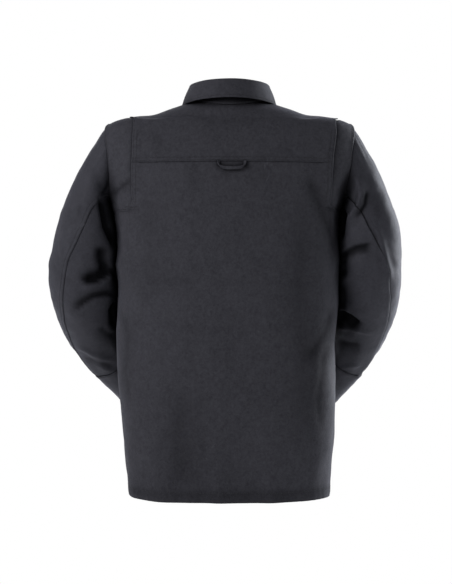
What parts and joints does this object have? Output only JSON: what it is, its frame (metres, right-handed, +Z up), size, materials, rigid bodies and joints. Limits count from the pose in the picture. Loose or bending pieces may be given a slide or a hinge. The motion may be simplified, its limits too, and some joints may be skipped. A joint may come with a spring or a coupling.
{
  "type": "leather welding jacket",
  "caption": "Snap-front leather work jacket with back yoke, action pleats, fold-down collar, two-piece sleeves and snapped cuffs, shaped as worn.",
  "frame": {"origin": "middle of the hem opening, on the hem plane", "axes": "+Z up from hem to collar, +Y out of the back, -Y out of the snap front, +X towards the wearer's left sleeve"},
  "size_m": [0.724, 0.3407, 0.816],
  "materials": {
    "body_leather": "napped split leather, matte charcoal black",
    "sleeve_leather": "smooth leather with a soft sheen, charcoal black",
    "lining": "woven cotton lining, black",
    "snap_metal": "black-oxide snap fasteners, satin"
  },
  "bodies": {
    "torso": {"back_panel": "body_leather", "back_yoke": "body_leather", "yoke_lining": "lining", "action_pleat_left": "body_leather", "action_pleat_right": "body_leather", "front_panel_left": "body_leather", "front_panel_right": "body_leather", "storm_flap_top": "body_leather", "neck_snap_cap": "snap_metal", "neck_snap_stud": "snap_metal", "hem_facing": "lining", "inside_pocket": "lining", "collar_stand": "body_leather", "collar_leaf": "body_leather"},
    "left_front": {"front_edge_left": "body_leather", "storm_flap": "body_leather", "snap_caps": "snap_metal", "snap_sockets": "snap_metal"},
    "right_front": {"front_edge_right": "body_leather", "snap_studs": "snap_metal", "snap_posts": "snap_metal"},
    "left_upper_sleeve": {"upper_sleeve_outer_left": "sleeve_leather", "upper_sleeve_under_left": "sleeve_leather"},
    "right_upper_sleeve": {"upper_sleeve_outer_right": "sleeve_leather", "upper_sleeve_under_right": "sleeve_leather"},
    "left_forearm": {"lower_sleeve_outer_left": "sleeve_leather", "lower_sleeve_under_left": "sleeve_leather", "cuff_left": "sleeve_leather", "cuff_stud_left": "snap_metal"},
    "right_forearm": {"lower_sleeve_outer_right": "sleeve_leather", "lower_sleeve_under_right": "sleeve_leather", "cuff_right": "sleeve_leather", "cuff_stud_right": "snap_metal"},
    "left_cuff_tab": {"cuff_tab_left": "sleeve_leather", "cuff_snap_left": "snap_metal"},
    "right_cuff_tab": {"cuff_tab_right": "sleeve_leather", "cuff_snap_right": "snap_metal"},
    "hanger": {"hanger_loop": "body_leather"}
  },
  "joints": [
    {"name": "left_shoulder", "type": "hinge", "parent": "torso", "child": "left_upper_sleeve", "pos_m": [0.236, 0, 0.657], "axis": [0, -1, 0], "range_deg": [0, 50]},
    {"name": "right_shoulder", "type": "hinge", "parent": "torso", "child": "right_upper_sleeve", "pos_m": [-0.236, 0, 0.657], "axis": [0, 1, 0], "range_deg": [0, 50]},
    {"name": "left_elbow", "type": "hinge", "parent": "left_upper_sleeve", "child": "left_forearm", "pos_m": [0.298, -0.012, 0.418], "axis": [-0.9516, 0.3004, -0.0644], "range_deg": [-12, 12]},
    {"name": "right_elbow", "type": "hinge", "parent": "right_upper_sleeve", "child": "right_forearm", "pos_m": [-0.298, -0.012, 0.418], "axis": [-0.9516, -0.3004, 0.0644], "range_deg": [-12, 12]},
    {"name": "front_open", "type": "hinge", "parent": "torso", "child": "left_front", "pos_m": [0.13, -0.114, 0], "axis": [-0.1671, -0.044, 0.985], "range_deg": [0, 100]},
    {"name": "right_front_open", "type": "hinge", "parent": "torso", "child": "right_front", "pos_m": [-0.13, -0.114, 0], "axis": [-0.1671, 0.044, -0.985], "range_deg": [0, 50]},
    {"name": "left_cuff_tab_open", "type": "hinge", "parent": "left_forearm", "child": "left_cuff_tab", "pos_m": [0.22532, -0.18136, 0.27019], "axis": [-0.5502, -0.4356, -0.7124], "range_deg": [0, 75]},
    {"name": "right_cuff_tab_open", "type": "hinge", "parent": "right_forearm", "child": "right_cuff_tab", "pos_m": [-0.22532, -0.18136, 0.27019], "axis": [-0.5502, 0.4356, 0.7124], "range_deg": [0, 75]},
    {"name": "hanger_lift", "type": "hinge", "parent": "torso", "child": "hanger", "pos_m": [-0.004, 0.1225, 0.6485], "axis": [1, 0, 0], "range_deg": [0, 80]}
  ],
  "couplings": [
    {"joint": "right_front_open", "follows": "front_open", "ratio": 0.5}
  ]
}
